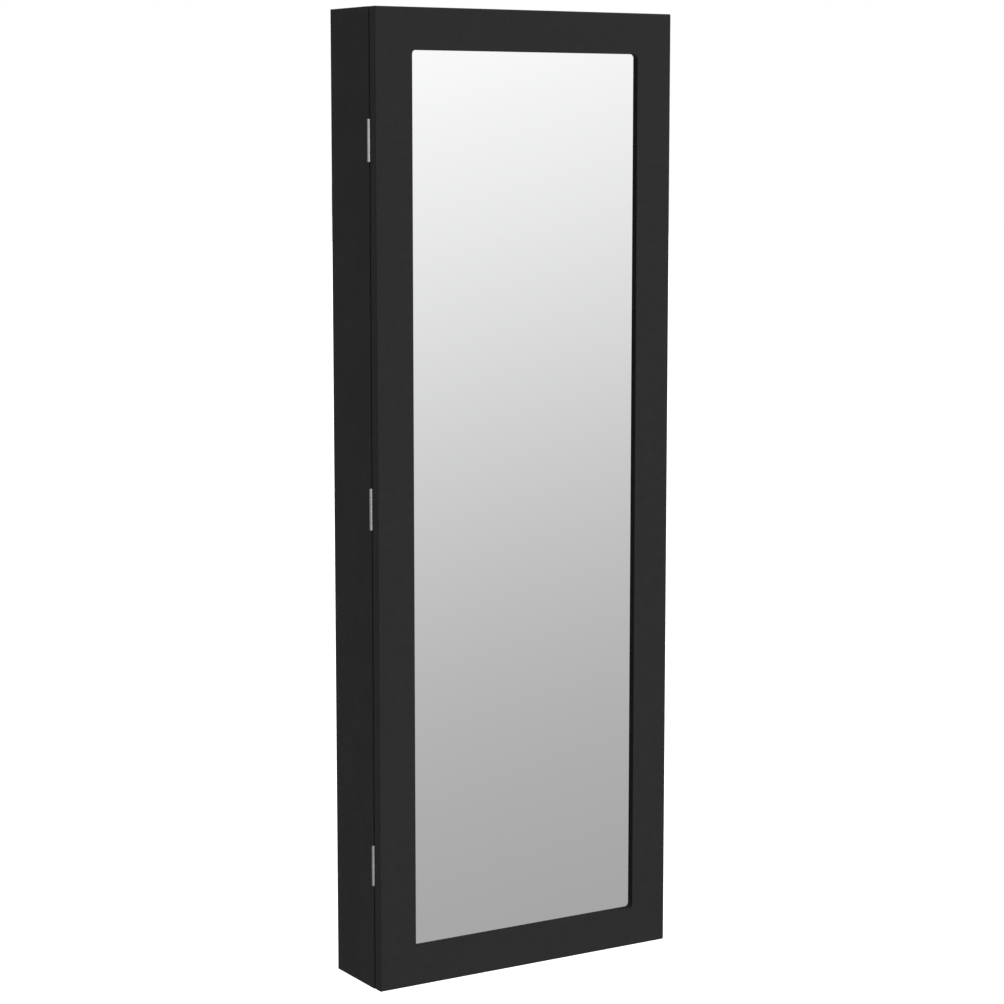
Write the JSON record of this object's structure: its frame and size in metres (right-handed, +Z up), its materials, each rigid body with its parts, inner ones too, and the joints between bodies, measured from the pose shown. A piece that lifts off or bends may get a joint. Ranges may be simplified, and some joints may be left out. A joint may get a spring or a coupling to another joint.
{
  "type": "jewelry mirror cabinet",
  "caption": "Tall wall-hung jewelry cabinet: a mirror door on side hinges, with hooks, ring cushion, earring board, shelves and a cam lock behind it.",
  "frame": {"origin": "on the wall plane, midway between the two keyhole entry holes the cabinet hangs by", "axes": "+Z up, +Y into the wall, the mirror faces -Y, +X to the right as seen from the front"},
  "size_m": [0.3795, 0.1, 1.06],
  "materials": {
    "black_board": "satin black foil on fibreboard",
    "back_board": "matte black board",
    "inner_board": "satin black",
    "inner_trim": "satin black",
    "flocking": "black velvet flock",
    "cushion_fabric": "black velvet",
    "mirror": "silvered float glass",
    "black_plastic": "moulded matte black",
    "rubber": "matte",
    "beech": "raw",
    "nickel": "nickel plated",
    "zinc_steel": "zinc plated"
  },
  "bodies": {
    "cabinet": {"back_lining": "flocking", "back_panel": "back_board", "back_panel_nails": "zinc_steel", "bottom_panel": "black_board", "bracelet_rod": "nickel", "divider_middle": "inner_board", "divider_upper": "inner_board", "door_buffers": "rubber", "door_magnets": "zinc_steel", "earring_battens": "inner_trim", "earring_board": "flocking", "earring_board_screws": "zinc_steel", "guard_rail_1": "nickel", "guard_rail_2": "nickel", "guard_rail_3": "nickel", "guard_rail_4": "nickel", "hinge_bottom_leaf_fixed": "zinc_steel", "hinge_middle_leaf_fixed": "zinc_steel", "hinge_pins": "zinc_steel", "hinge_screws_fixed": "zinc_steel", "hinge_top_leaf_fixed": "zinc_steel", "lipstick_holder": "black_plastic", "lock_housing": "nickel", "lock_nut": "zinc_steel", "necklace_hooks": "nickel", "necklace_rail": "inner_trim", "panel_dowels": "beech", "ring_cushion": "cushion_fabric", "ring_tray": "inner_trim", "shelf_1": "inner_board", "shelf_2": "inner_board", "shelf_3": "inner_board", "shelf_4": "inner_board", "shelf_5": "inner_board", "side_panel_left": "black_board", "side_panel_right": "black_board", "top_panel": "black_board", "wall_hanger_left": "zinc_steel", "wall_hanger_right": "zinc_steel", "wall_hanger_screws": "zinc_steel", "wall_pads": "rubber"},
    "door": {"door_frame": "black_board", "mirror_glass": "mirror", "mirror_backing": "back_board", "door_back_board": "back_board", "door_back_screws": "zinc_steel", "door_hook_rails": "inner_trim", "door_hooks": "nickel", "door_tray": "black_plastic", "hinge_top_leaf_door": "zinc_steel", "hinge_middle_leaf_door": "zinc_steel", "hinge_bottom_leaf_door": "zinc_steel", "hinge_screws_door": "zinc_steel", "magnet_plates": "zinc_steel", "magnet_plate_screws": "zinc_steel", "lock_catch": "zinc_steel", "lock_catch_screws": "zinc_steel"},
    "lock_core": {"lock_plug": "nickel", "lock_cam": "zinc_steel", "lock_cam_screw": "zinc_steel"}
  },
  "joints": [
    {"name": "door_hinge", "type": "hinge", "parent": "cabinet", "child": "door", "pos_m": [-0.188, -0.08675, -0.32], "axis": [0, 0, -1], "range_deg": [0, 180]},
    {"name": "lock_turn", "type": "hinge", "parent": "cabinet", "child": "lock_core", "pos_m": [0.18, -0.07, -0.32], "axis": [1, 0, 0], "range_deg": [0, 90]}
  ]
}
